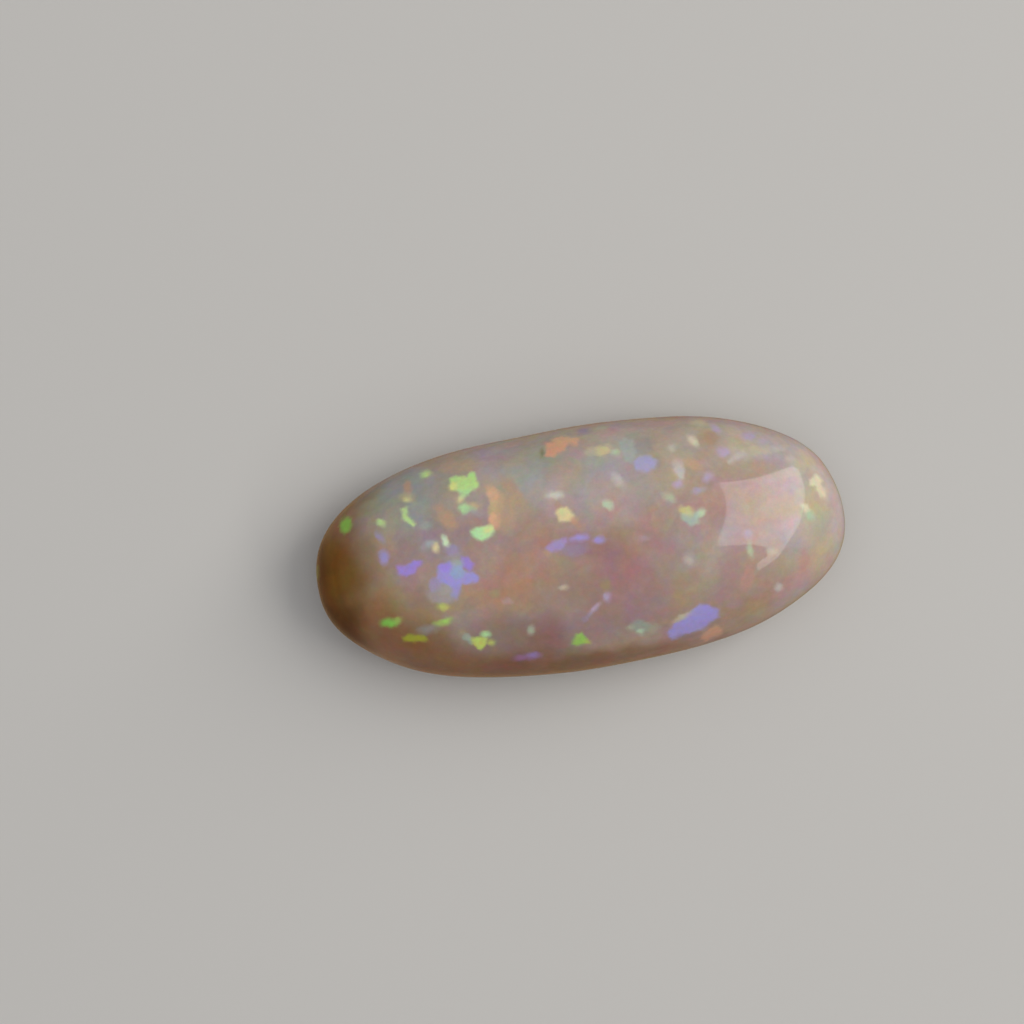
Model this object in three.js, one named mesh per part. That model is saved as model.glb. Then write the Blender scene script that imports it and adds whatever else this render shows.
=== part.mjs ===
// A polished opal cabochon: one solid stone with a long oval outline, a high smooth dome, a rounded
// girdle and a back that is ground flat, so that it lies still on a table or in a ring's seat.
// Millimetres, +Z up, +X along the stone. The origin is on the flat back, under the middle of the stone.
import * as THREE from "three";
import { mergeVertices } from "three/addons/utils/BufferGeometryUtils.js";

// Driving dimensions
const LENGTH = 20.0;
const WIDTH = 9.14;
const HEIGHT = 5.4;
// The girdle is the widest level of the stone, measured up from the flat back.
const GIRDLE_HEIGHT = 1.5;
// How deep the underside would bulge below the girdle if the back weren't ground flat.
const UNDERSIDE_DEPTH = 2.1;
// Exponents of the curves: 2 is an ellipse, and more is fuller and nearer to a box.
const OUTLINE_FULLNESS = 2.4;
const DOME_FULLNESS = 2.25;
const UNDERSIDE_FULLNESS = 2.2;
// The crest of the dome leans a little towards the fuller end.
const CREST_SHIFT_X = 0.45;
const CREST_SHIFT_Y = 0.12;

// Where the grinding wheel left the outline flatter (negative rise) or fuller than the plain oval.
// The direction is in degrees from +X towards +Y, and the spread is how far the change reaches each way.
const WHEEL_MARKS = [
  { direction: 7, rise: -0.09, spread: 6 },
  { direction: 38, rise: 0.07, spread: 12 },
  { direction: 114, rise: -0.08, spread: 20 },
  { direction: 197, rise: -0.2, spread: 10 },
  { direction: 263, rise: 0.05, spread: 22 },
  { direction: 339, rise: -0.1, spread: 9 },
];

// How finely the surface is faceted
const STEPS_ROUND = 96;
const STEPS_DOME = 19;
const STEPS_UNDERSIDE = 5;

// The height of a superellipse above its centre line, at a share of its half width.
function bulge(share, fullness) {
  return Math.pow(Math.max(0, 1 - Math.pow(share, fullness)), 1 / fullness);
}

// Half of the stone's section, as shares of the outline across and millimetres up: from the middle of
// the back, out along the flat, up the underside to the girdle, and over the dome to its crest.
function sectionProfile() {
  const backShare = bulge(GIRDLE_HEIGHT / UNDERSIDE_DEPTH, UNDERSIDE_FULLNESS);
  const points = [new THREE.Vector2(0, 0)];
  for (let i = 0; i < STEPS_UNDERSIDE; i++) {
    const share = THREE.MathUtils.lerp(backShare, 1, Math.sin((i / STEPS_UNDERSIDE) * (Math.PI / 2)));
    const drop = i === 0 ? GIRDLE_HEIGHT : UNDERSIDE_DEPTH * bulge(share, UNDERSIDE_FULLNESS);
    points.push(new THREE.Vector2(share, GIRDLE_HEIGHT - drop));
  }
  for (let i = 0; i <= STEPS_DOME; i++) {
    const share = Math.cos((i / STEPS_DOME) * (Math.PI / 2));
    const rise = (HEIGHT - GIRDLE_HEIGHT) * bulge(share, DOME_FULLNESS);
    points.push(new THREE.Vector2(i === STEPS_DOME ? 0 : share, GIRDLE_HEIGHT + rise));
  }
  return points;
}

// How much the wheel marks grow or shrink the outline at the point (x, y) of the plain oval.
function wheelMarkScale(x, y) {
  const degrees = THREE.MathUtils.radToDeg(Math.atan2(y, x));
  let rise = 0;
  for (const mark of WHEEL_MARKS) {
    const away = THREE.MathUtils.euclideanModulo(degrees - mark.direction + 180, 360) - 180;
    rise += mark.rise * Math.exp(-((away / mark.spread) ** 2));
  }
  return 1 + rise / Math.max(Math.hypot(x, y), WIDTH / 2);
}

// Stretches a round blank of radius 1 to the oval outline, with its wheel marks and leaning crest.
function shapeBlank(geometry) {
  const position = geometry.getAttribute("position");
  const power = 2 / OUTLINE_FULLNESS;
  for (let i = 0; i < position.count; i++) {
    const share = Math.hypot(position.getX(i), position.getY(i));
    const z = position.getZ(i);
    const cosine = share > 0 ? position.getX(i) / share : 0;
    const sine = share > 0 ? position.getY(i) / share : 0;
    const x = (LENGTH / 2) * Math.sign(cosine) * Math.abs(cosine) ** power;
    const y = (WIDTH / 2) * Math.sign(sine) * Math.abs(sine) ** power;
    const scale = share * wheelMarkScale(x, y);
    const lean = Math.max(0, (z - GIRDLE_HEIGHT) / (HEIGHT - GIRDLE_HEIGHT)) ** 2;
    position.setXYZ(i, x * scale + CREST_SHIFT_X * lean, y * scale + CREST_SHIFT_Y * lean, z);
  }
}

// Puts the origin under the middle of the stone, and brings back the length and width that the wheel
// marks changed by a few hundredths of a millimetre.
function trimToSize(geometry) {
  geometry.computeBoundingBox();
  const middle = geometry.boundingBox.getCenter(new THREE.Vector3());
  const size = geometry.boundingBox.getSize(new THREE.Vector3());
  geometry.translate(-middle.x, -middle.y, 0);
  geometry.scale(LENGTH / size.x, WIDTH / size.y, 1);
}

function makeStone() {
  const blank = new THREE.LatheGeometry(sectionProfile(), STEPS_ROUND);
  blank.rotateX(Math.PI / 2);
  shapeBlank(blank);
  blank.deleteAttribute("normal");
  blank.deleteAttribute("uv");
  const geometry = mergeVertices(blank, 1e-4);
  trimToSize(geometry);
  geometry.computeVertexNormals();
  return geometry;
}

// Pale milky opal with a pink-brown cast, polished bright
const opalMaterial = new THREE.MeshStandardMaterial({ color: 0xb09a8e, roughness: 0.1, metalness: 0 });

const cabochon = new THREE.Mesh(makeStone(), opalMaterial);
cabochon.name = "opal_cabochon";

const part = new THREE.Group();
part.add(cabochon);

export default part;
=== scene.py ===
"""A polished opal cabochon: a milky, pink-brown stone with patches of play of colour, on a pale floor.

The stone's shape follows the same curves as the CAD solid, finely meshed. Its colours are a node material:
a body colour that changes over the stone, with painted light and shade in it (paler at the right end and
upper side, darker at the left end and lower edge), a mosaic of faint domains, and flecks placed one by one.
"""

import math
import typing

import bmesh
import bpy
import numpy as np
from mathutils import Matrix, Vector
from mathutils.bvhtree import BVHTree


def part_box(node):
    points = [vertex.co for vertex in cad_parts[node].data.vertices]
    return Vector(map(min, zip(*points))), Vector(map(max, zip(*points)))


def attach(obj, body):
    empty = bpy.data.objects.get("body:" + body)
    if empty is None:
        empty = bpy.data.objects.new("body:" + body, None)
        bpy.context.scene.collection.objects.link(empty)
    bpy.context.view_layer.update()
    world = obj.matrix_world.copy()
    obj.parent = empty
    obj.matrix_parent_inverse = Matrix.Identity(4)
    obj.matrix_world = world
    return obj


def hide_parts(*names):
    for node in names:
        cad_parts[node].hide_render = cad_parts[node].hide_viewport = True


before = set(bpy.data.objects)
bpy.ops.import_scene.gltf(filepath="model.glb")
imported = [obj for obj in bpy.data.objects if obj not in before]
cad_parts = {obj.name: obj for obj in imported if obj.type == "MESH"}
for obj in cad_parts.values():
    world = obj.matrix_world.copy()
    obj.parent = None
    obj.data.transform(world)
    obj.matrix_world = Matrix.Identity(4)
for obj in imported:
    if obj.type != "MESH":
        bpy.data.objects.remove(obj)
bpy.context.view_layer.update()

MM = 0.001
NODE = "opal_cabochon"
node_low, node_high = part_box(NODE)
LENGTH = (node_high.x - node_low.x) / MM
WIDTH = (node_high.y - node_low.y) / MM
HEIGHT = (node_high.z - node_low.z) / MM

# The curves of the stone, as in the CAD solid, in millimetres
GIRDLE_HEIGHT = 1.5
UNDERSIDE_DEPTH = 2.1
OUTLINE_FULLNESS = 2.4
DOME_FULLNESS = 2.25
UNDERSIDE_FULLNESS = 2.2
CREST_SHIFT = (0.45, 0.12)
WHEEL_MARKS = (
    # direction from +X in degrees, rise in mm, spread in degrees
    (7, -0.09, 6),
    (38, 0.07, 12),
    (114, -0.08, 20),
    (197, -0.2, 10),
    (263, 0.05, 22),
    (339, -0.1, 9),
)
# How far the rounding of the flat back's edge reaches in mm, and how high it lifts, as a share of that
BACK_EDGE_ROUNDING = 0.16
BACK_EDGE_LIFT = 0.12
# Where the girdle and the back's edge lie on the way from the crest to the back's middle, as shares of pi
GIRDLE_TURN = 0.58
BACK_TURN = 0.70
# The points of each part of the section, and the faces along a side of each of the sphere's six grids
SECTION_STEPS = 3000
GRID = 96

# The photograph: where the middle of the stone is, how it is turned, and its scale
PHOTO_SIDE = 1024
STONE_CENTRE_PX = (580.5, 548.0)
STONE_TURN = math.radians(8.75)
PX_PER_MM = 26.53


def bulge(share, fullness):
    """The height of a superellipse above its centre line, at a share of its half width."""
    return np.maximum(0.0, 1.0 - np.abs(share) ** fullness) ** (1.0 / fullness)


def section():
    """Half of the stone's section, from the crest to the middle of the back.

    Gives the turn (0 to pi), the share of the outline and the height.
    """
    back_share = float(bulge(GIRDLE_HEIGHT / UNDERSIDE_DEPTH, UNDERSIDE_FULLNESS))
    t = np.linspace(0.0, 1.0, SECTION_STEPS)
    dome_share = np.sin(t * math.pi / 2)
    dome_z = GIRDLE_HEIGHT + (HEIGHT - GIRDLE_HEIGHT) * bulge(dome_share, DOME_FULLNESS)
    under_share = back_share + (1 - back_share) * np.cos(t * math.pi / 2)
    under_z = GIRDLE_HEIGHT - UNDERSIDE_DEPTH * bulge(under_share, UNDERSIDE_FULLNESS)
    back_share_line = back_share * (1 - t)
    dome_turn = t * GIRDLE_TURN
    under_turn = GIRDLE_TURN + t[1:] * (BACK_TURN - GIRDLE_TURN)
    back_turn = BACK_TURN + t[1:] * (1 - BACK_TURN)
    turn = np.concatenate([dome_turn, under_turn, back_turn])
    share = np.concatenate([dome_share, under_share[1:], back_share_line[1:]])
    z = np.concatenate([dome_z, under_z[1:], np.zeros(SECTION_STEPS - 1)])
    return turn * math.pi, share, round_back_edge(share, z, back_share)


def round_back_edge(share, z, back_share):
    """Lifts the section a little where the underside meets the flat back, so that the edge is blunt."""
    reach = BACK_EDGE_ROUNDING / (WIDTH / 2)
    near = np.clip(1 - np.abs(share - back_share) / reach, 0, 1)
    lift = BACK_EDGE_LIFT * BACK_EDGE_ROUNDING * near**2
    return np.where(z < GIRDLE_HEIGHT, z + lift, z)


def wheel_mark_scale(x, y):
    """How much the wheel marks grow or shrink the outline at the point (x, y) of the plain oval."""
    degrees = np.degrees(np.arctan2(y, x))
    rise = np.zeros_like(x)
    for direction, height, spread in WHEEL_MARKS:
        away = (degrees - direction + 180) % 360 - 180
        rise += height * np.exp(-((away / spread) ** 2))
    return 1 + rise / np.maximum(np.hypot(x, y), WIDTH / 2)


def cube_sphere(n):
    """Points and quads of a sphere made of six even grids of n by n faces, with shared edges merged."""
    line = np.tan(np.linspace(-math.pi / 4, math.pi / 4, n + 1))
    u, v = np.meshgrid(line, line, indexing="ij")
    w = np.ones_like(u)
    sides = [(w, u, v), (-w, v, u), (v, w, u), (u, -w, v), (u, v, w), (v, u, -w)]
    points = np.concatenate([np.stack(side, axis=-1).reshape(-1, 3) for side in sides])
    points /= np.linalg.norm(points, axis=1)[:, None]
    _, first, back = np.unique(np.round(points, 6), axis=0, return_index=True, return_inverse=True)
    i, j = np.meshgrid(np.arange(n), np.arange(n), indexing="ij")
    corner = (i * (n + 1) + j).ravel()
    quad = np.stack([corner, corner + n + 1, corner + n + 2, corner + 1], axis=1)
    quads = np.concatenate([quad + side * (n + 1) ** 2 for side in range(6)])
    return points[first], back.reshape(-1)[quads]


def shape_points(ball):
    """Moves the points of a unit sphere to the stone's surface, in millimetres."""
    turn, share, z = section()
    angle = np.arccos(np.clip(ball[:, 2], -1, 1))
    around = np.hypot(ball[:, 0], ball[:, 1])
    cosine = np.divide(ball[:, 0], around, out=np.zeros_like(around), where=around > 1e-9)
    sine = np.divide(ball[:, 1], around, out=np.zeros_like(around), where=around > 1e-9)
    power = 2 / OUTLINE_FULLNESS
    x = LENGTH / 2 * np.sign(cosine) * np.abs(cosine) ** power
    y = WIDTH / 2 * np.sign(sine) * np.abs(sine) ** power
    height = np.interp(angle, turn, z)
    scale = np.interp(angle, turn, share) * wheel_mark_scale(x, y)
    lean = np.clip((height - GIRDLE_HEIGHT) / (HEIGHT - GIRDLE_HEIGHT), 0, 1) ** 2
    points = np.stack([x * scale + CREST_SHIFT[0] * lean, y * scale + CREST_SHIFT[1] * lean, height], axis=1)
    low, high = points.min(0), points.max(0)
    middle = (low + high) / 2
    middle[2] = 0
    return (points - middle) * np.array([LENGTH, WIDTH, high[2]]) / np.array([*(high - low)[:2], high[2]])


def make_stone():
    """The finely meshed stone, riding on the body in place of the CAD solid."""
    ball, quads = cube_sphere(GRID)
    points = shape_points(ball)
    mesh = bpy.data.meshes.new("opal_stone")
    mesh.from_pydata((points * MM).tolist(), [], quads.tolist())
    solid = bmesh.new()
    solid.from_mesh(mesh)
    bmesh.ops.recalc_face_normals(solid, faces=solid.faces)
    for face in solid.faces:
        face.smooth = True
    solid.to_mesh(mesh)
    solid.free()
    stone = bpy.data.objects.new("opal_stone", mesh)
    bpy.context.scene.collection.objects.link(stone)
    return stone


# The camera's lens and sensor in mm, and the nearest that it sees, in metres
LENS = 100.0
SENSOR = 36.0
CLIP_START = 0.001


def make_camera():
    """Looks straight down, turned and placed so that the stone lies in the frame as in the photograph."""
    data = bpy.data.cameras.new("camera")
    data.lens = LENS
    data.sensor_width = SENSOR
    data.clip_start = CLIP_START
    camera = bpy.data.objects.new("camera", data)
    bpy.context.scene.collection.objects.link(camera)
    frame_width = PHOTO_SIDE / PX_PER_MM * MM
    distance = frame_width * LENS / SENSOR
    right = (STONE_CENTRE_PX[0] - PHOTO_SIDE / 2) / PX_PER_MM * MM
    up = (PHOTO_SIDE / 2 - STONE_CENTRE_PX[1]) / PX_PER_MM * MM
    cosine, sine = math.cos(-STONE_TURN), math.sin(-STONE_TURN)
    x = -(right * cosine - up * sine)
    y = -(right * sine + up * cosine)
    camera.location = (x, y, GIRDLE_HEIGHT * MM + distance)
    camera.rotation_euler = (0, 0, -STONE_TURN)
    bpy.context.scene.camera = camera
    return camera


class Surface:
    """The stone as the camera sees it: what lies behind each pixel of the photograph."""

    def __init__(self, stone, camera):
        self.eye = camera.location.copy()
        self.tree = BVHTree.FromObject(stone, bpy.context.evaluated_depsgraph_get())

    def behind(self, pixel):
        """The point in metres, its normal and the way there. Beside the stone it is at the girdle's level."""
        right = (pixel[0] - STONE_CENTRE_PX[0]) / PX_PER_MM
        up = (STONE_CENTRE_PX[1] - pixel[1]) / PX_PER_MM
        cosine, sine = math.cos(-STONE_TURN), math.sin(-STONE_TURN)
        level = Vector((right * cosine - up * sine, right * sine + up * cosine, GIRDLE_HEIGHT)) * MM
        way = (level - self.eye).normalized()
        hit, normal, _, _ = self.tree.ray_cast(self.eye, way)
        return (hit, normal, way) if hit else (level, Vector((0, 0, 1)), way)

    def place(self, pixel):
        """The point behind a pixel in millimetres."""
        return self.behind(pixel)[0] / MM


# The corners of the window's reflection on the right end of the stone, in the photograph's pixels
REFLECTION_CORNERS_PX = (
    (718, 483),
    (740, 481),
    (761, 476),
    (792, 466),
    (798, 469),
    (804, 486),
    (805, 501),
    (801, 519),
    (790, 538),
    (776, 559),
    (759, 570),
    (757, 565),
    (766, 556),
    (766, 547),
    (750, 543),
    (719, 547),
    (717, 538),
    (726, 512),
    (728, 501),
)
# How far away the window is, in metres, and its light
WINDOW_DISTANCE = 0.35
WINDOW_LIGHT = 3.4
WINDOW_COLOUR = (1.0, 0.97, 0.91, 1)
# The light of the studio dome, low down and overhead
HORIZON_LIGHT = 0.06
ZENITH_LIGHT = 0.85
# What the stone's polish reflects below the horizon, in place of the floor: a warm, dim card
CARD_COLOUR = (0.3, 0.2, 0.11, 1)
BACKDROP_COLOUR = (0.72, 0.71, 0.7, 1)
# The floor of plain paper: half its side and the gap under the stone, in metres, and its finish
FLOOR_REACH = 0.6
FLOOR_GAP = 0.00002
FLOOR_COLOUR = (0.62, 0.61, 0.6, 1)
FLOOR_ROUGHNESS = 0.9
FLOOR_SHINE = 0.1


def make_window(surface):
    """The light: a window whose outline is worked out from where its reflection lies on the stone."""
    rays = []
    for pixel in REFLECTION_CORNERS_PX:
        hit, normal, way = surface.behind(pixel)
        rays.append((hit, way.reflect(normal)))
    middle = sum((way for _, way in rays), Vector()).normalized()
    plane_point = middle * WINDOW_DISTANCE
    corners = [hit + way * ((plane_point - hit).dot(middle) / way.dot(middle)) for hit, way in rays]
    mesh = bpy.data.meshes.new("window")
    mesh.from_pydata([tuple(c) for c in corners], [], [tuple(range(len(corners)))])
    window = bpy.data.objects.new("window", mesh)
    bpy.context.scene.collection.objects.link(window)
    material = bpy.data.materials.new("window_light")
    material.use_nodes = True
    tree = material.node_tree
    tree.nodes.clear()
    glow = tree.nodes.new("ShaderNodeEmission")
    glow.inputs["Color"].default_value = WINDOW_COLOUR
    glow.inputs["Strength"].default_value = WINDOW_LIGHT
    out = tree.nodes.new("ShaderNodeOutputMaterial")
    tree.links.new(glow.outputs[0], out.inputs["Surface"])
    mesh.materials.append(material)
    window.visible_camera = False


def make_floor():
    """A plain pale floor, which the stone's polish doesn't reflect."""
    mesh = bpy.data.meshes.new("floor")
    reach, low = FLOOR_REACH, -FLOOR_GAP
    corners = [(-reach, -reach, low), (reach, -reach, low), (reach, reach, low), (-reach, reach, low)]
    mesh.from_pydata(corners, [], [(0, 1, 2, 3)])
    floor = bpy.data.objects.new("floor", mesh)
    bpy.context.scene.collection.objects.link(floor)
    material = bpy.data.materials.new("floor_paper")
    material.use_nodes = True
    shader = material.node_tree.nodes["Principled BSDF"]
    shader.inputs["Base Color"].default_value = FLOOR_COLOUR
    shader.inputs["Roughness"].default_value = FLOOR_ROUGHNESS
    shader.inputs["Specular IOR Level"].default_value = FLOOR_SHINE
    mesh.materials.append(material)
    floor.visible_glossy = False


def make_world():
    """A soft studio dome, brightest overhead, the card below it, and a pale backdrop for the camera."""
    world = bpy.data.worlds.new("studio")
    bpy.context.scene.world = world
    world.use_nodes = True
    tree = world.node_tree
    tree.nodes.clear()
    way = tree.nodes.new("ShaderNodeTexCoord")
    split = tree.nodes.new("ShaderNodeSeparateXYZ")
    rise = tree.nodes.new("ShaderNodeMapRange")
    rise.inputs["To Min"].default_value = HORIZON_LIGHT
    rise.inputs["To Max"].default_value = ZENITH_LIGHT
    dome = tree.nodes.new("ShaderNodeBackground")
    backdrop = tree.nodes.new("ShaderNodeBackground")
    backdrop.inputs["Color"].default_value = BACKDROP_COLOUR
    card = tree.nodes.new("ShaderNodeBackground")
    card.inputs["Color"].default_value = CARD_COLOUR
    below = tree.nodes.new("ShaderNodeMath")
    below.operation = "LESS_THAN"
    below.inputs[1].default_value = 0.0
    around = tree.nodes.new("ShaderNodeMixShader")
    ray = tree.nodes.new("ShaderNodeLightPath")
    mix = tree.nodes.new("ShaderNodeMixShader")
    out = tree.nodes.new("ShaderNodeOutputWorld")
    tree.links.new(way.outputs["Generated"], split.inputs[0])
    tree.links.new(split.outputs["Z"], rise.inputs["Value"])
    tree.links.new(rise.outputs["Result"], dome.inputs["Strength"])
    tree.links.new(ray.outputs["Is Camera Ray"], mix.inputs["Fac"])
    tree.links.new(split.outputs["Z"], below.inputs[0])
    tree.links.new(below.outputs[0], around.inputs["Fac"])
    tree.links.new(dome.outputs[0], around.inputs[1])
    tree.links.new(card.outputs[0], around.inputs[2])
    tree.links.new(around.outputs[0], mix.inputs[1])
    tree.links.new(backdrop.outputs[0], mix.inputs[2])
    tree.links.new(mix.outputs[0], out.inputs["Surface"])


# Colours as the photograph shows them, in sRGB from 0 to 255
AMBER = (104, 72, 28)
AMBER_DEEP_SHADED = (60, 24, 0)
RUST = (122, 88, 56)
BROWN = (122, 92, 68)
ROSE_BROWN = (118, 88, 76)
HONEY = (140, 122, 92)
TAN = (152, 130, 104)
TAN_WARM = (172, 150, 124)
TAN_YELLOW = (188, 172, 128)
SALMON = (159, 131, 113)
PINK_BROWN = (165, 144, 138)
MAUVE = (156, 124, 122)
MAUVE_PINK = (174, 149, 158)
MAUVE_DEEP = (146, 112, 117)
ROSE = (162, 120, 114)
PLUM = (138, 96, 102)
SLATE = (128, 106, 102)
GREY = (154, 151, 148)
GREY_BLUE = (135, 143, 143)
GREY_MAUVE = (138, 125, 126)
GREY_LILAC = (152, 147, 156)
PALE_PINK_LIT = (189, 179, 172)
GREY_PINK = (171, 161, 161)
BUFF = (176, 161, 147)
LILAC_PALE = (190, 181, 179)
ROSE_DARK_SHADED = (114, 82, 68)
HONEY_DARK = (108, 84, 56)
LIME = (176, 213, 140)
LIME_DEEP = (150, 188, 98)
LIME_YELLOW = (178, 188, 104)
GREEN = (118, 170, 76)
MINT = (166, 204, 154)
MINT_BRIGHT = (172, 214, 162)
MINT_PALE = (188, 208, 180)
MINT_DULL = (168, 178, 158)
TEAL = (148, 162, 152)
TEAL_PALE = (150, 168, 168)
TEAL_BRIGHT = (168, 180, 178)
YELLOW = (206, 204, 138)
YELLOW_PALE = (206, 198, 156)
CREAM = (196, 190, 168)
CREAM_BRIGHT = (226, 222, 196)
DUN = (150, 134, 122)
VIOLET_SLAB = (162, 154, 212)
VIOLET_SOFT = (160, 147, 208)
MINT_GREY = (170, 188, 180)
OLIVE_YELLOW = (146, 150, 52)
OLIVE = (150, 140, 104)
OLIVE_DARK = (126, 122, 90)
ORANGE = (206, 160, 136)
ORANGE_DULL = (174, 144, 120)
PEACH = (206, 168, 138)
CORAL = (192, 148, 140)
VIOLET = (149, 128, 192)
VIOLET_BRIGHT = (152, 131, 206)
BLUE_VIOLET = (150, 143, 196)
VIOLET_DULL = (148, 137, 170)
VIOLET_RED = (146, 106, 156)
VIOLET_PALE = (186, 172, 200)
PERIWINKLE = (172, 168, 202)
SKY = (143, 160, 189)
WHITE = (196, 194, 186)
WHITE_WARM = (198, 194, 190)

# The colours of the flecks that are scattered over the flanks and the back
FIRE = (VIOLET, LIME_DEEP, BLUE_VIOLET, ORANGE, MINT, VIOLET_DULL, GREEN, YELLOW_PALE)

# How bright the lights make a white stone: at its middle, and the change for each mm along and across it
LIGHT_MIDDLE = 0.76
LIGHT_ALONG = 0.023
LIGHT_ACROSS = 0.002
# The brightest colour that the stone itself may have
LIGHTEST = 0.95
# The place in plan whose light counts for colours that are used all over the stone
STONE_MIDDLE = Vector((0, 0))


class Oval(typing.NamedTuple):
    """An oval of colour: its middle and half sizes in the photograph's pixels.

    The turn is in degrees, anticlockwise from level as the photograph shows it.
    """

    colour: tuple
    at: tuple
    half: tuple
    turn: float = 0.0
    strength: float = 1.0


class Shard(typing.NamedTuple):
    """A patch of colour with straight sides: its corners in turn, in the photograph's pixels."""

    colour: tuple
    corners: tuple
    strength: float = 1.0


BODY_COLOUR = (163, 141, 132)

# The body colour changes over the stone in wide, soft fields. Besides the stone's own colours, they hold
# painted light
# and shade: paler at the right end and along the upper side, towards the window's light, and darker and
# warmer at the left end and along the lower edge, away from it.
FIELDS_WITH_PAINTED_SHADING = (
    # Painted light: the right end is pale pink of its own, made paler still by the window's light painted in
    Oval(PALE_PINK_LIT, (818, 520), (54, 95), 0, 0.95),
    Oval(GREY_PINK, (600, 462), (110, 46), 8, 0.95),
    Oval(BUFF, (695, 445), (54, 34), 0, 0.85),
    Oval(LILAC_PALE, (775, 452), (70, 34), -25, 0.8),
    Oval(PINK_BROWN, (745, 598), (80, 34), 20, 0.7),
    # Painted shade: the lower edge is rose-brown of its own, made darker by shade painted in
    Oval(ROSE_BROWN, (735, 650), (110, 15), 19, 0.7),
    Oval(GREY_PINK, (690, 548), (36, 20), 10, 0.6),
    Oval(MAUVE, (610, 562), (66, 30), 5, 0.9),
    Oval(MAUVE_DEEP, (598, 548), (34, 12), 0, 0.6),
    Oval(ROSE, (640, 578), (30, 14), -20, 0.5),
    Oval(MAUVE_DEEP, (620, 606), (44, 24), 0, 0.6),
    Oval(SALMON, (507, 565), (38, 26), 0, 0.6),
    Oval(TAN, (500, 596), (36, 14), 5, 0.5),
    Oval(TAN, (560, 588), (36, 16), 5, 0.5),
    Oval(SLATE, (524, 634), (50, 22), 0, 0.85),
    Oval(PLUM, (549, 636), (14, 20), 0, 0.6),
    # Painted shade along the lower edge, over the stone's own rose and brown
    Oval(ROSE_DARK_SHADED, (500, 674), (100, 20), 3, 0.95),
    Oval(BROWN, (610, 662), (80, 14), 9, 0.8),
    # Painted light: the upper side is grey of its own, made lighter by light painted in
    Oval(GREY, (520, 458), (52, 26), 8, 0.95),
    Oval(GREY, (480, 485), (46, 30), 0, 0.5),
    Oval(GREY_BLUE, (396, 508), (44, 40), 0, 0.95),
    Oval(GREY_MAUVE, (402, 550), (44, 26), 0, 0.8),
    Oval(HONEY_DARK, (352, 500), (36, 16), 46, 0.7),
    Oval(DUN, (370, 548), (24, 34), -20, 0.8),
    # Painted shade: the left end, away from the light, is amber and brown of its own, darkened towards its
    # edge by shade painted in
    Oval(AMBER, (330, 585), (46, 66), 0, 1.0),
    Oval(HONEY, (408, 600), (44, 18), 0, 0.8),
    Oval(RUST, (388, 628), (46, 22), -15, 0.85),
    Oval(AMBER_DEEP_SHADED, (336, 632), (60, 27), -50, 0.9),
    Oval(BROWN, (432, 650), (56, 18), -15, 0.9),
    Oval(ROSE_DARK_SHADED, (430, 672), (56, 16), -12, 0.8),
    Oval(AMBER_DEEP_SHADED, (314, 575), (15, 56), 0, 0.7),
)


class Drift(typing.NamedTuple):
    """Cloudiness in the stone: how large it is in mm, and how much it changes red, green and blue."""

    size: float
    change: tuple


DRIFTS = (
    Drift(1.8, (0.07, 0.07, 0.12)),
    Drift(0.8, (0.08, 0.08, 0.13)),
    Drift(0.3, (0.04, 0.035, 0.06)),
)
# Drifts that run through the flecks too
FLECK_DRIFTS = (
    Drift(0.22, (0.06, 0.045, 0.06)),
    Drift(0.075, (0.05, 0.045, 0.05)),
)


# The tints that the domains take: rose, salmon, tan, olive, grey, lavender and mauve
DOMAIN_TINTS = (
    (0.98, 0.92, 0.95),
    (1.00, 0.94, 0.88),
    (0.98, 0.96, 0.86),
    (0.94, 0.98, 0.90),
    (0.94, 0.97, 1.00),
    (0.94, 0.93, 1.00),
    (0.96, 0.91, 0.98),
)
# The domains' size in mm, how they are stretched and turned, how far they take their tints, how much
# brighter they are made to make up for the tints, and how far their brightness differs
DOMAIN_SIZE = 0.7
DOMAIN_STRETCH = (1.5, 0.9, 1.0)
DOMAIN_TURN = math.radians(35)
DOMAIN_STRENGTH = 0.45
DOMAIN_GAIN = 1.0225
DOMAIN_CONTRAST = 0.025

# Flecks of the play of colour, from the left end to the right
LEFT_END_FLECKS = (
    Oval(GREEN, (345.5, 525), (6, 8), -10, 0.85),
    Oval(LIME, (381, 522.5), (4, 3.2), -30, 0.9),
    Oval(VIOLET_DULL, (379.5, 537), (6, 2.8), -50, 0.85),
    Oval(BLUE_VIOLET, (384, 557.5), (5, 6.5), 0, 0.8),
    Shard(VIOLET, ((396, 562), (405, 565), (413, 564), (413, 574), (405, 577), (398, 574))),
    Shard(VIOLET, ((405, 566), (417, 560), (422, 561), (419, 568), (413, 575), (406, 575))),
    Oval(LIME, (425.5, 474), (5.4, 3.6), 10, 0.9),
    Oval(ORANGE_DULL, (407.5, 487), (4.5, 6), 0, 0.8),
    Oval(TAN_YELLOW, (406.5, 497), (7, 4), 0, 0.55),
    Oval(YELLOW_PALE, (407, 499.5), (3, 1.6), 0, 0.7),
    Shard(LIME, ((401, 508), (407, 507), (408, 513), (407, 520), (402, 519)), 0.85),
    Shard(LIME, ((404, 519), (409, 517), (415, 524), (414, 527), (405, 521))),
    Oval(TEAL, (425, 526), (5.5, 4), 20, 0.7),
    Oval(ORANGE_DULL, (439, 507), (5, 5), 0, 0.5),
    Oval(ORANGE_DULL, (447, 518.5), (11, 7.5), -45, 0.75),
    Oval(GREEN, (389, 623.3), (7.6, 3.8), -5),
    Oval(LIME_DEEP, (397, 621), (3.5, 2.3), 20, 0.6),
    Shard(OLIVE_YELLOW, ((402, 637), (410, 635), (425, 635), (427, 640), (418, 642), (404, 641)), 0.95),
    Oval(RUST, (413, 645), (11, 3), 3, 0.6),
)

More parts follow.
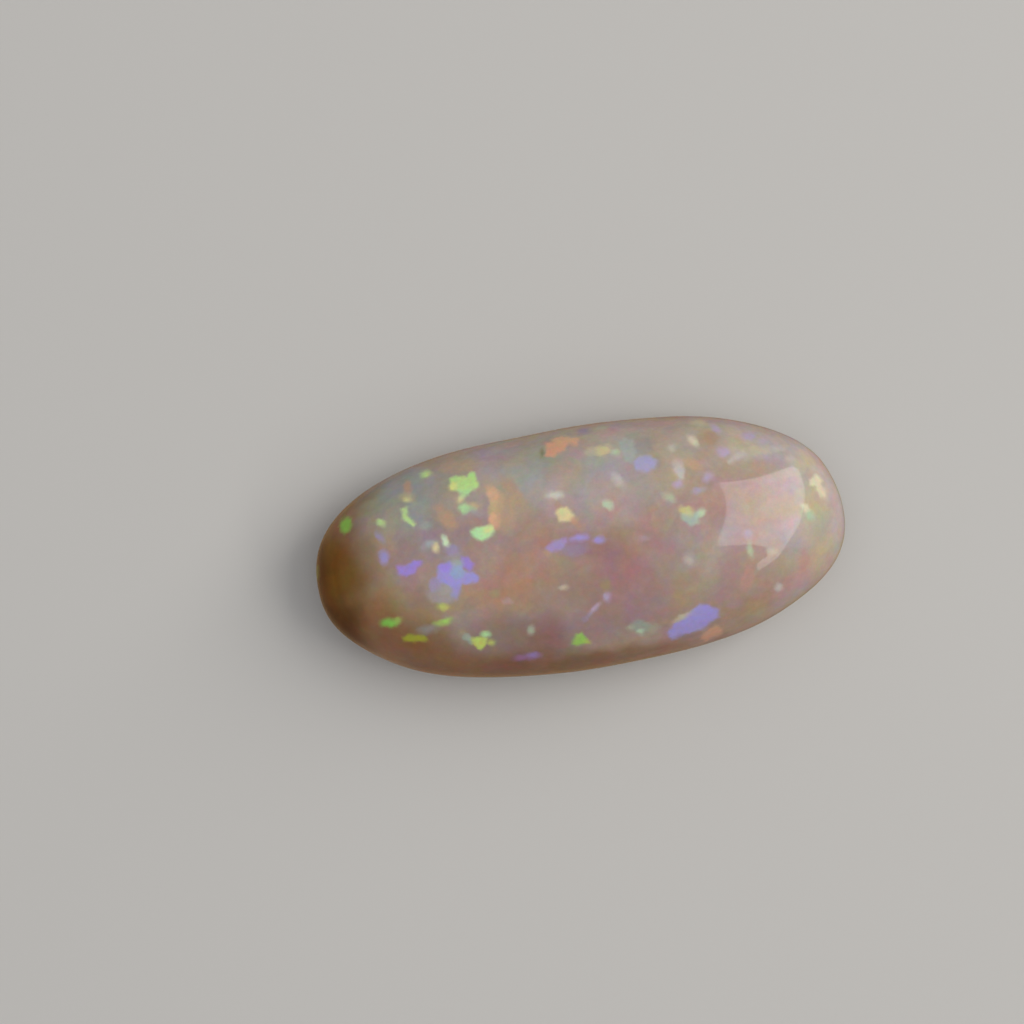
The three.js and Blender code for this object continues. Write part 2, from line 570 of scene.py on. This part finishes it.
LIME_FLECKS = (
    Oval(TAN_WARM, (461, 466), (20, 7), 5, 0.6),
    Shard(LIME, ((449, 478), (457, 476), (467, 477), (473, 484), (468, 493), (459, 492), (450, 489))),
    Shard(LIME, ((466, 478), (469, 473), (474, 472), (479, 482), (476, 489), (468, 493))),
    Oval(YELLOW, (453, 486), (4.5, 4), 0, 0.8),
    Shard(MINT, ((459, 491), (470, 489), (469, 496), (461, 498)), 0.9),
    Oval(YELLOW_PALE, (460.5, 499), (3.8, 2.8), 20, 0.8),
    Oval(MINT, (464.2, 508.3), (5.8, 5), 0, 0.95),
    Oval(TAN_YELLOW, (474, 505.5), (6, 3), -10, 0.7),
    Oval(MINT, (472, 509.5), (3.5, 2), 0, 0.6),
    Oval(GREY_LILAC, (478, 513), (10, 3.5), -10, 0.6),
    Oval(PEACH, (495, 497), (12, 6.5), -58, 0.75),
    Oval(TAN_YELLOW, (495, 509), (6, 8), 0, 0.75),
    Oval(PEACH, (495, 520), (6.5, 8), 0, 0.85),
    Oval(TAN_WARM, (506, 512), (10, 20), 0, 0.65),
    Oval(ORANGE_DULL, (508, 484), (10, 6), -50, 0.6),
    Oval(ORANGE_DULL, (519, 498), (10, 6), -62, 0.5),
    Shard(MINT_BRIGHT, ((471, 532), (476, 527), (493, 526), (494, 531), (490, 537), (482, 541), (476, 539))),
    Oval(YELLOW, (488.5, 529.5), (4.5, 3), 20, 0.7),
)

CLUSTER_FLECKS = (
    Oval(GREY_LILAC, (426, 546.5), (5.5, 3), 15, 0.7),
    Oval(TEAL_PALE, (430.5, 543), (5, 3), 15, 0.8),
    Oval(YELLOW_PALE, (436, 547.5), (3.3, 4.6), -10, 0.9),
    Oval(MINT_PALE, (445.5, 541.5), (5.6, 3.2), -65),
    Oval(VIOLET_DULL, (452, 550.5), (6.5, 5.5), 0, 0.8),
    Oval(GREY_LILAC, (452, 557), (6.5, 1.8), 12, 0.7),
    Shard(BLUE_VIOLET, ((437, 569), (440, 564), (450, 562), (463, 565), (464, 580), (455, 587), (436, 583))),
    Shard(VIOLET, ((460, 551), (467, 557), (476, 557), (474, 565), (470, 571), (462, 566))),
    Shard(VIOLET_BRIGHT, ((438, 568), (441, 564), (449, 562), (452, 567), (450, 572), (441, 572)), 0.9),
    Shard(BLUE_VIOLET, ((461, 571), (472, 571), (478, 575), (479, 579), (474, 584), (466, 585), (460, 581))),
    Oval(TEAL_PALE, (457, 563.5), (6, 4), 0, 0.75),
    Oval(SKY, (457.5, 572.5), (7, 6.5), 0, 0.9),
    Oval(VIOLET_DULL, (435, 585.5), (6.5, 6.5), 0, 0.9),
    Shard(BLUE_VIOLET, ((450, 580), (462, 581), (461, 590), (456, 599), (450, 597)), 0.85),
    Oval(GREY_LILAC, (434, 596), (8, 5), -30, 0.6),
    Oval(GREY_LILAC, (446, 600), (9, 4), 5, 0.75),
    Oval(GREY, (444.5, 590.5), (7.5, 5.5), 0, 0.9),
    Oval(LIME_YELLOW, (443, 607), (5, 2.8), 0, 0.85),
    Oval(LIME_DEEP, (446.5, 621), (5.2, 3.2), 25),
    Oval(LIME_DEEP, (438, 623.5), (4.5, 2.8), 5, 0.7),
    Oval(GREY_BLUE, (428, 629.5), (10, 4), 8, 0.6),
    Oval(OLIVE, (462.5, 632), (3.5, 3.5), -45, 0.7),
    Oval(TEAL, (468, 638.5), (5.5, 2.8), -42, 0.9),
    Shard(LIME_YELLOW, ((471, 639), (476, 637), (487, 639), (485, 647), (480, 651), (475, 647))),
    Oval(LIME_YELLOW, (491.5, 642.8), (3.2, 2.6)),
    Oval(MINT, (486, 635), (4, 3.2), 0, 0.95),
)

LOWER_FLECKS = (
    Oval(VIOLET, (532.5, 655.5), (6.8, 3), 5, 0.7),
    Oval(VIOLET_RED, (522, 658), (7, 2.6), 5, 0.7),
    Oval(MINT_DULL, (531.2, 631), (3, 4), 0, 0.8),
    Shard(LIME_DEEP, ((572, 643), (576, 634), (582, 633), (587, 639), (589, 643), (575, 645))),
    Oval(LIME_YELLOW, (586.5, 641.8), (3, 1.8), -20, 0.6),
    Oval(OLIVE, (494, 593), (5, 4.5), 0, 0.7),
    Oval(MAUVE_PINK, (507.5, 601.5), (3.5, 1.9), 0, 0.6),
    Oval(CREAM, (563, 588), (3, 1.5), 5, 0.7),
    Oval(OLIVE, (605.5, 585), (5.5, 6.5), 0, 0.7),
    Oval(PERIWINKLE, (606.5, 597.5), (3.6, 4.4), 20, 0.7),
    Oval(VIOLET_PALE, (594.3, 609), (5, 1.3), 52, 0.7),
    Oval(VIOLET_DULL, (587.5, 616.5), (4, 1.3), 50, 0.7),
    Oval(TEAL, (640, 627), (8.5, 7.5), 0, 0.85),
    Oval(MINT_DULL, (653, 628.5), (6.5, 5.5), 0, 0.45),
    Oval(MINT_DULL, (629.5, 627.7), (2.8, 1.8), 0, 0.7),
    Oval(MINT_PALE, (640, 631.3), (3.2, 2.6), 0, 0.75),
    Shard(VIOLET_SLAB, ((667, 634), (670, 628), (700, 603), (720, 610), (719, 615), (704, 628), (672, 640))),
    Oval(GREY_MAUVE, (688, 636), (11, 2.5), 10, 0.6),
    Oval(CREAM, (682, 617), (7.5, 1.7), 34, 0.85),
    Oval(ORANGE_DULL, (666.5, 622), (3, 2), 0, 0.6),
    Shard(ORANGE, ((700, 638), (706, 631), (716, 626), (723, 627), (722, 634), (706, 641)), 0.85),
    Oval(WHITE_WARM, (689, 559.5), (4.5, 5.5), 20, 0.5),
)

UPPER_FLECKS = (
    Shard(ORANGE, ((545, 443), (556, 441), (568, 443), (566, 451), (552, 457), (546, 456)), 0.95),
    Shard(PEACH, ((552, 439), (566, 436), (579, 438), (578, 445), (562, 445), (553, 443)), 0.9),
    Oval(MAUVE_PINK, (576, 453.5), (8.5, 5), 0, 0.7),
    Oval(OLIVE_DARK, (541.8, 453.2), (1.3, 3.2), 0, 0.8),
    Oval(VIOLET_DULL, (583, 431), (6, 3), 10, 0.8),
    Oval(MINT_DULL, (599.5, 428.5), (5.5, 2), 8, 0.7),
    Oval(CREAM, (590.5, 451.5), (6, 3.2), 20, 0.7),
    Oval(YELLOW_PALE, (603, 450), (8, 4.6), 20, 0.9),
    Oval(MINT_PALE, (615, 452), (4.2, 3), 0, 0.7),
    Shard(TEAL_BRIGHT, ((618, 442), (624, 438), (634, 440), (637, 452), (631, 464), (625, 461)), 0.7),
    Oval(GREY_LILAC, (644, 446), (9, 9), 0, 0.5),
    Shard(PERIWINKLE, ((633, 463), (638, 457), (650, 456), (657, 461), (655, 468), (647, 473), (636, 470))),
    Oval(GREY_LILAC, (658, 463), (2.6, 5.5), 0, 0.6),
    Oval(WHITE_WARM, (617, 479), (8.6, 4.4), -55, 0.65),
    Oval(MINT_PALE, (607.5, 505), (5.6, 4.2), -30, 0.8),
    Oval(WHITE, (554.5, 495), (7.8, 3.6), 3, 0.95),
    Oval(ORANGE_DULL, (558, 506), (3.5, 4.5), 30, 0.6),
    Shard(YELLOW_PALE, ((556, 513), (561, 507), (567, 507), (575, 515), (569, 522), (560, 522))),
    Oval(ORANGE, (574, 520), (4, 3), -40, 0.6),
    Oval(ORANGE_DULL, (579, 526), (6.5, 3.5), -35, 0.65),
    Shard(VIOLET_SOFT, ((545, 549), (552, 541), (566, 538), (568, 543), (560, 550), (550, 553)), 0.7),
    Oval(VIOLET_SOFT, (579, 538.3), (8.4, 3.4), 8, 0.95),
    Oval(VIOLET_DULL, (574, 549), (13, 6), 8, 0.55),
    Oval(VIOLET_SOFT, (599.5, 540), (5.8, 3.6), 5, 0.85),
    Oval(ORANGE_DULL, (547, 553.5), (3.5, 3.2), -30, 0.8),
    Oval(MAUVE_PINK, (643.5, 538.5), (4, 1.8), 0, 0.8),
)

RIGHT_FLECKS = (
    Oval(WHITE, (671.5, 447.5), (3.2, 3.4), 0, 0.85),
    Oval(CREAM_BRIGHT, (693, 440.5), (6.5, 3.4), -55, 0.8),
    Oval(CREAM, (698.5, 422), (6.8, 2.4), -5, 0.95),
    Oval(VIOLET_PALE, (715.5, 428), (6.5, 3.6), -55, 0.95),
    Oval(ORANGE_DULL, (709, 438), (10, 8), 0, 0.5),
    Oval(WHITE_WARM, (678.5, 470), (5.2, 10), 8, 0.8),
    Oval(WHITE, (680.5, 474.5), (3.2, 4.2), 0, 0.9),
    Oval(TAN_YELLOW, (675.5, 477), (2.6, 3), 0, 0.6),
    Oval(PEACH, (693, 464), (10, 4.5), -30, 0.6),
    Oval(VIOLET_PALE, (677.8, 483.7), (4.2, 3.2), 0, 0.9),
    Oval(VIOLET_PALE, (708.5, 477), (5.8, 4.2), 25, 0.85),
    Oval(PERIWINKLE, (698.8, 490.3), (5, 2.1), 10, 0.7),
    Oval(MINT_PALE, (669, 498), (5.4, 4), -35, 0.6),
    Shard(MINT_GREY, ((680, 513), (689, 511), (700, 512), (699, 525), (690, 525), (682, 519)), 0.9),
    Oval(YELLOW, (686, 511), (7.2, 4.4), -20, 0.8),
    Oval(MINT_PALE, (701.5, 513), (4.8, 3.2), 35, 0.95),
    Oval(VIOLET_PALE, (749, 436), (7.4, 4.2), 8, 0.9),
    Oval(VIOLET_PALE, (762, 441.5), (4.8, 3.4), 0, 0.75),
    Shard(CREAM, ((748, 449), (753, 445), (770, 448), (772, 453), (752, 455)), 0.8),
    Oval(WHITE_WARM, (777, 448.8), (7.4, 3), 0, 0.8),
    Oval(VIOLET_PALE, (723, 452.3), (5.8, 5.4), 0, 0.9),
    Shard(WHITE_WARM, ((726, 461), (735, 454), (745, 450), (746, 455), (736, 460), (728, 464)), 0.75),
    Oval(WHITE_WARM, (790, 458.5), (4.5, 2.8), 5, 0.8),
    Oval(TAN_WARM, (752, 469), (38, 9), 8, 0.5),
    Shard(CREAM_BRIGHT, ((809, 479), (816, 474), (823, 480), (820, 487), (811, 485)), 0.85),
    Oval(CREAM_BRIGHT, (821, 491), (7.5, 4.2), -50, 0.8),
    Oval(CREAM_BRIGHT, (806.3, 508), (5, 3.4), -45, 0.85),
    Oval(MINT_PALE, (810, 515), (4.6, 4), -30, 0.85),
    Oval(VIOLET_PALE, (747.8, 534), (4.8, 4), 0, 0.6),
    Oval(MINT_PALE, (750.3, 550), (2.6, 7), 8, 0.75),
    Oval(CREAM, (772, 551.5), (4.5, 3.4), 0, 0.6),
    Oval(CORAL, (803, 562), (6, 15), 0, 0.5),
    Oval(CORAL, (747.5, 578), (6.5, 14), -8, 0.65),
    Oval(WHITE, (778.8, 587), (4, 3.2), 0, 0.95),
    Oval(MAUVE_PINK, (734, 605), (6, 4), 10, 0.5),
)

FLECKS = (
    *LEFT_END_FLECKS,
    *LIME_FLECKS,
    *CLUSTER_FLECKS,
    *LOWER_FLECKS,
    *UPPER_FLECKS,
    *RIGHT_FLECKS,
)


# How far a place is scattered to soften every edge, in mm
EDGE_BLUR = 0.04
# How places are shaken by noise: its size in mm, how far it moves them in mm, and its seed
FIELD_SHAKE = (1.6, 0.55, 3.0)
CLOUD_SHAKE = (0.7, 0.3, 5.0)
FLECK_SHAKE = (0.3, 0.07, 11.0)
# How the flecks' edges are splintered: the size of the cells in mm, and how far places are drawn in
SPLINTER_SIZE = 0.22
SPLINTER_SHARE = 0.3
# How soft the edges are: of fields as a share of their size, of shards in mm and of ovals in pixels
FIELD_EDGE = 0.6
SHARD_EDGE = 0.07
OVAL_EDGE_PX = 2.2
# How much softer the edge of the weakest oval is, as a share of its size
WEAK_SOFTNESS = 0.5
# Half of the height that fields and flecks reach through, in mm
FIELD_DEPTH = 7.0
FLECK_DEPTH = 1.0
# Noise stays near the middle of its range, so the drifts multiply its swing by this
DRIFT_GAIN = 3.0
# How many flecks are laid in one run, how far the colour so far moves the next run, in mm, and the colour
# that doesn't move it
RUN_OF_FLECKS = 16
NUDGE = 0.04
MIDDLE_TINT = (0.5, 0.35, 0.28)
# Going up the stone, the placed flecks set in between two levels in mm, and the scattered ones fade out
FLECKS_SET_IN = (1.6, 2.1)
FIRE_FADES_OUT = (1.2, 2.6)
# The scattered flecks lie in cells: how strong the flecks are, the cells' size in mm, the shares of cells
# that stay bare and that show weakly, and where a fleck's edge starts and ends, as shares of the size
FIRE_STRENGTH = 0.8
FIRE_SIZE = 1.0
FIRE_BARE = 0.84
FIRE_WEAK = 0.02
FIRE_EDGE = (0.26, 0.44)
# The polish gets brighter from the girdle up to this level in mm
POLISHED_ABOVE = 2.9
GIRDLE_ROUGHNESS = 0.28
DOME_ROUGHNESS = 0.05
# The back is left as the wheel ground it: satin, with fine streaks along the stone (so many to the mm)
BACK_ROUGHNESS = (0.42, 0.6)
STREAKS = (3.0, 14.0, 14.0)
# The range of the noise that the streaks take up, and the levels in mm between which they end
STREAK_RANGE = (0.3, 0.7)
GROUND_FADES_OUT = (0.05, 0.25)
# Opal's refraction, and how light scatters in it: its share, and its reach in mm for red, green and blue
IOR = 1.45
SCATTER_SHARE = 0.8
SCATTER_REACH = (2.4, 1.2, 0.6)


def linear(colour):
    """An sRGB colour from 0 to 255 as linear light from 0 to 1."""
    shares = [value / 255 for value in colour]
    return [s / 12.92 if s <= 0.04045 else ((s + 0.055) / 1.055) ** 2.4 for s in shares]


def stone_colour(seen, spot):
    """The colour that the stone has at a place in plan, if the lights are to show it as it was seen."""
    light = LIGHT_MIDDLE + LIGHT_ALONG * spot.x + LIGHT_ACROSS * spot.y
    return (*[min(LIGHTEST, value / light) for value in linear(seen)], 1)


class Paint:
    """Lays colours over one another in a node tree.

    A call that makes a value returns its socket. The others change the colour so far.
    """

    def __init__(self, tree, surface):
        self.tree = tree
        self.surface = surface
        self.colour = None

    def node(self, kind, output, inputs, **settings):
        """A shader node with its inputs linked or set, by name or number."""
        made = self.tree.nodes.new("ShaderNode" + kind)
        for name, value in settings.items():
            setattr(made, name, value)
        for name, value in inputs.items():
            if isinstance(value, bpy.types.NodeSocket):
                self.tree.links.new(value, made.inputs[name])
            else:
                made.inputs[name].default_value = value
        return made.outputs[output]

    def number(self, operation, *values):
        """Sums on numbers."""
        return self.node("Math", 0, dict(enumerate(values)), operation=operation)

    def vector(self, operation, *values):
        """Sums on vectors. Lengths, distances and dot products come out as numbers."""
        output = "Value" if operation in ("LENGTH", "DOT_PRODUCT", "DISTANCE") else "Vector"
        return self.node("VectorMath", output, dict(enumerate(values)), operation=operation)

    def scaled(self, vector, factor):
        """A vector times a number."""
        return self.node("VectorMath", "Vector", {0: vector, "Scale": factor}, operation="SCALE")

    def fade(self, value, start, end, low=0.0, high=1.0):
        """A soft step from low to high, as the value goes from start to end."""
        inputs = {"Value": value, "From Min": start, "From Max": end, "To Min": low, "To Max": high}
        return self.node("MapRange", "Result", inputs, interpolation_type="SMOOTHSTEP")

    def blend(self, mask, below, above, blend_type="MIX"):
        """One colour laid over another, or multiplied with it, as far as the mask says."""
        inputs = {0: mask, 6: below, 7: above}
        return self.node("Mix", 2, inputs, data_type="RGBA", blend_type=blend_type, clamp_factor=True)

    def ramp(self, value, colours, interpolation):
        """The colours in turn, as the value goes from 0 to 1."""
        made = self.tree.nodes.new("ShaderNodeValToRGB")
        stops = made.color_ramp.elements
        made.color_ramp.interpolation = interpolation
        stops.remove(stops[0])
        steps = len(colours) - (interpolation == "LINEAR")
        for i, colour in enumerate(colours):
            stop = stops[0] if i == 0 else stops.new(i / steps)
            stop.position = i / steps
            stop.color = (*colour, 1)
        self.tree.links.new(value, made.inputs["Fac"])
        return made.outputs["Color"]

    def shaken(self, vector, size, reach, seed):
        """The place moved about by noise of a size, by up to a reach in mm."""
        moved = self.vector("ADD", vector, (seed, seed, seed))
        noise = self.node("TexNoise", "Color", {"Vector": moved, "Scale": 1 / size, "Detail": 2.0})
        push = self.scaled(self.vector("SUBTRACT", noise, (0.5, 0.5, 0.5)), 2 * reach)
        return self.vector("ADD", vector, push)

    def splintered(self, vector, size, share):
        """The place drawn towards the middle of its cell, so that edges run along the cells' flat sides."""
        inputs = {"Vector": vector, "Scale": 1 / size}
        cell = self.node("TexVoronoi", "Position", inputs)
        pull = self.scaled(self.vector("SUBTRACT", cell, vector), share)
        return self.vector("ADD", vector, pull)

    def nudged(self, vector, reach):
        """The place moved a little by the colour so far, as where one domain of the stone meets another.

        It also makes Cycles finish one run of patches before the next: its node stack can't hold them all.
        """
        tint = self.vector("SUBTRACT", self.colour, MIDDLE_TINT)
        return self.vector("ADD", vector, self.scaled(tint, reach))

    def blurred(self, vector, reach):
        """The place scattered by a reach in mm, which softens every edge drawn at it."""
        scatter = self.node("TexWhiteNoise", "Color", {"Vector": vector})
        push = self.scaled(self.vector("SUBTRACT", scatter, (0.5, 0.5, 0.5)), 2 * reach)
        return self.vector("ADD", vector, push)

    def tinted(self, tint, mask=1.0):
        """Multiplies the colour so far by a tint."""
        self.colour = self.blend(mask, self.colour, tint, "MULTIPLY")

    def drift(self, where, drift):
        """Clouds the colour so far, in soft patches that are a little redder, greener or bluer."""
        noise = self.node("TexNoise", "Color", {"Vector": where, "Scale": 1 / drift.size, "Detail": 0.0})
        steep = [DRIFT_GAIN * change for change in drift.change]
        level = [1 - half / 2 for half in steep]
        self.tinted(self.vector("MULTIPLY_ADD", noise, steep, level))

    def domains(self, where):
        """Parts the colour so far into small domains with flat sides, each slightly different."""
        inputs = {"Vector": where, "Rotation": (0, 0, DOMAIN_TURN), "Scale": DOMAIN_STRETCH}
        local = self.node("Mapping", "Vector", inputs, vector_type="TEXTURE")
        cell = self.node("TexVoronoi", "Color", {"Vector": local, "Scale": 1 / DOMAIN_SIZE})
        lots = self.node("SeparateColor", "Red", {"Color": cell}).node
        self.tinted(self.ramp(lots.outputs["Red"], DOMAIN_TINTS, "LINEAR"), DOMAIN_STRENGTH)
        gains = (DOMAIN_GAIN - DOMAIN_CONTRAST, DOMAIN_GAIN + DOMAIN_CONTRAST)
        self.tinted(self.fade(lots.outputs["Green"], 0, 1, *gains))

    def oval(self, places, oval, depth, soft):
        """Lays an oval over the colour so far. The weaker it is, the softer its edge."""
        spot = self.surface.place(oval.at)
        turn = math.radians(oval.turn) - STONE_TURN
        middle = Matrix.Rotation(-turn, 3, "Z") @ spot
        shrink = (PX_PER_MM / oval.half[0], PX_PER_MM / oval.half[1], 1 / depth)
        shift = [-m * s for m, s in zip(middle, shrink)]
        local = self.vector("MULTIPLY_ADD", places.turned(turn), shrink, shift)
        soft += (1 - oval.strength) * WEAK_SOFTNESS
        mask = self.fade(self.vector("LENGTH", local), max(0.0, 1 - soft), 1 + soft, oval.strength, 0.0)
        self.colour = self.blend(mask, self.colour, stone_colour(oval.colour, spot))

    def shard(self, places, shard):
        """Lays a patch with straight sides over the colour so far, on the upper part of the stone."""
        corners = [self.surface.place(pixel).xy for pixel in shard.corners]
        middle = sum(corners, Vector((0, 0))) / len(corners)
        inside = None
        for here, there in zip(corners, corners[1:] + corners[:1]):
            side = (there - here).normalized()
            inward = Vector((-side.y, side.x))
            if inward.dot(middle - here) < 0:
                inward.negate()
            distance = self.vector("DOT_PRODUCT", places.in_plan, (*inward, -inward.dot(here)))
            inside = distance if inside is None else self.number("MINIMUM", inside, distance)
        mask = self.fade(inside, -SHARD_EDGE, SHARD_EDGE, 0.0, shard.strength)
        self.colour = self.blend(mask, self.colour, stone_colour(shard.colour, middle))

    def fire(self, where, mask):
        """Scatters flecks in the opal's play of colour, where the mask lets them show."""
        cell = self.node("TexVoronoi", "Color", {"Vector": where, "Scale": 1 / FIRE_SIZE}).node
        lots = self.node("SeparateColor", "Red", {"Color": cell.outputs["Color"]}).node
        lucky = self.fade(lots.outputs["Red"], FIRE_BARE, FIRE_BARE + FIRE_WEAK)
        near = self.fade(cell.outputs["Distance"], *FIRE_EDGE, 1.0, 0.0)
        shown = self.number("MULTIPLY", self.number("MULTIPLY", lucky, near), mask)
        hues = [stone_colour(colour, STONE_MIDDLE)[:3] for colour in FIRE]
        hue = self.ramp(lots.outputs["Blue"], hues, "CONSTANT")
        self.colour = self.blend(shown, self.colour, hue)


class Places:
    """One place on the stone, seen in the frames that the flecks are laid in."""

    def __init__(self, paint, place):
        self.paint = paint
        self.place = place
        # The third number is 1, so that a dot product gives the distance from a line
        self.in_plan = paint.vector("MULTIPLY_ADD", place, (1.0, 1.0, 0.0), (0.0, 0.0, 1.0))
        self.frames = {}

    def turned(self, angle):
        """The place in a frame turned by an angle about the stone's upright axis."""
        if angle not in self.frames:
            inputs = {"Vector": self.place, "Angle": -angle}
            self.frames[angle] = self.paint.node("VectorRotate", "Vector", inputs, rotation_type="Z_AXIS")
        return self.frames[angle]


def make_material(surface):
    """The opal: its body colour with painted light and shade, cloudiness and flecks, and its polish and
    ground back.
    """
    material = bpy.data.materials.new("opal")
    material.use_nodes = True
    tree = material.node_tree
    shader = tree.nodes["Principled BSDF"]
    paint = Paint(tree, surface)
    crisp = paint.scaled(paint.node("TexCoord", "Object", {}), 1 / MM)
    rise = paint.node("SeparateXYZ", "Z", {"Vector": crisp})
    place = paint.blurred(crisp, EDGE_BLUR)
    drifting = paint.shaken(place, *FIELD_SHAKE)
    watery = paint.shaken(place, *CLOUD_SHAKE)
    ragged = paint.splintered(paint.shaken(place, *FLECK_SHAKE), SPLINTER_SIZE, SPLINTER_SHARE)
    paint.colour = paint.node("RGB", 0, {})
    paint.colour.default_value = stone_colour(BODY_COLOUR, STONE_MIDDLE)
    fields = Places(paint, drifting)
    for field in FIELDS_WITH_PAINTED_SHADING:
        paint.oval(fields, field, FIELD_DEPTH, FIELD_EDGE)
    for drift in DRIFTS:
        paint.drift(watery, drift)
    paint.domains(watery)
    paint.fire(ragged, paint.fade(rise, *FIRE_FADES_OUT, FIRE_STRENGTH, 0.0))
    bare = paint.colour
    for start in range(0, len(FLECKS), RUN_OF_FLECKS):
        places = Places(paint, paint.nudged(ragged, NUDGE))
        for fleck in FLECKS[start : start + RUN_OF_FLECKS]:
            if isinstance(fleck, Shard):
                paint.shard(places, fleck)
            else:
                paint.oval(places, fleck, FLECK_DEPTH, OVAL_EDGE_PX / min(fleck.half))
    paint.colour = paint.blend(paint.fade(rise, *FLECKS_SET_IN), bare, paint.colour)
    for drift in FLECK_DRIFTS:
        paint.drift(crisp, drift)
    tree.links.new(paint.colour, shader.inputs["Base Color"])
    polish = paint.fade(rise, GIRDLE_HEIGHT, POLISHED_ABOVE, GIRDLE_ROUGHNESS, DOME_ROUGHNESS)
    along = paint.vector("MULTIPLY", crisp, STREAKS)
    streaks = paint.node("TexNoise", 0, {"Vector": along, "Scale": 1.0, "Detail": 0.0})
    satin = paint.fade(streaks, *STREAK_RANGE, *BACK_ROUGHNESS)
    ground = paint.fade(rise, *GROUND_FADES_OUT, 1.0, 0.0)
    rough = paint.number("MAXIMUM", polish, paint.number("MULTIPLY", satin, ground))
    tree.links.new(rough, shader.inputs["Roughness"])
    shader.inputs["IOR"].default_value = IOR
    shader.inputs["Subsurface Weight"].default_value = SCATTER_SHARE
    shader.inputs["Subsurface Radius"].default_value = SCATTER_REACH
    shader.inputs["Subsurface Scale"].default_value = MM
    return material


stone = make_stone()
camera = make_camera()
surface = Surface(stone, camera)
stone.data.materials.append(make_material(surface))
make_window(surface)
make_floor()
make_world()
bpy.context.scene.view_settings.view_transform = "Standard"

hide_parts(NODE)
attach(stone, "root")
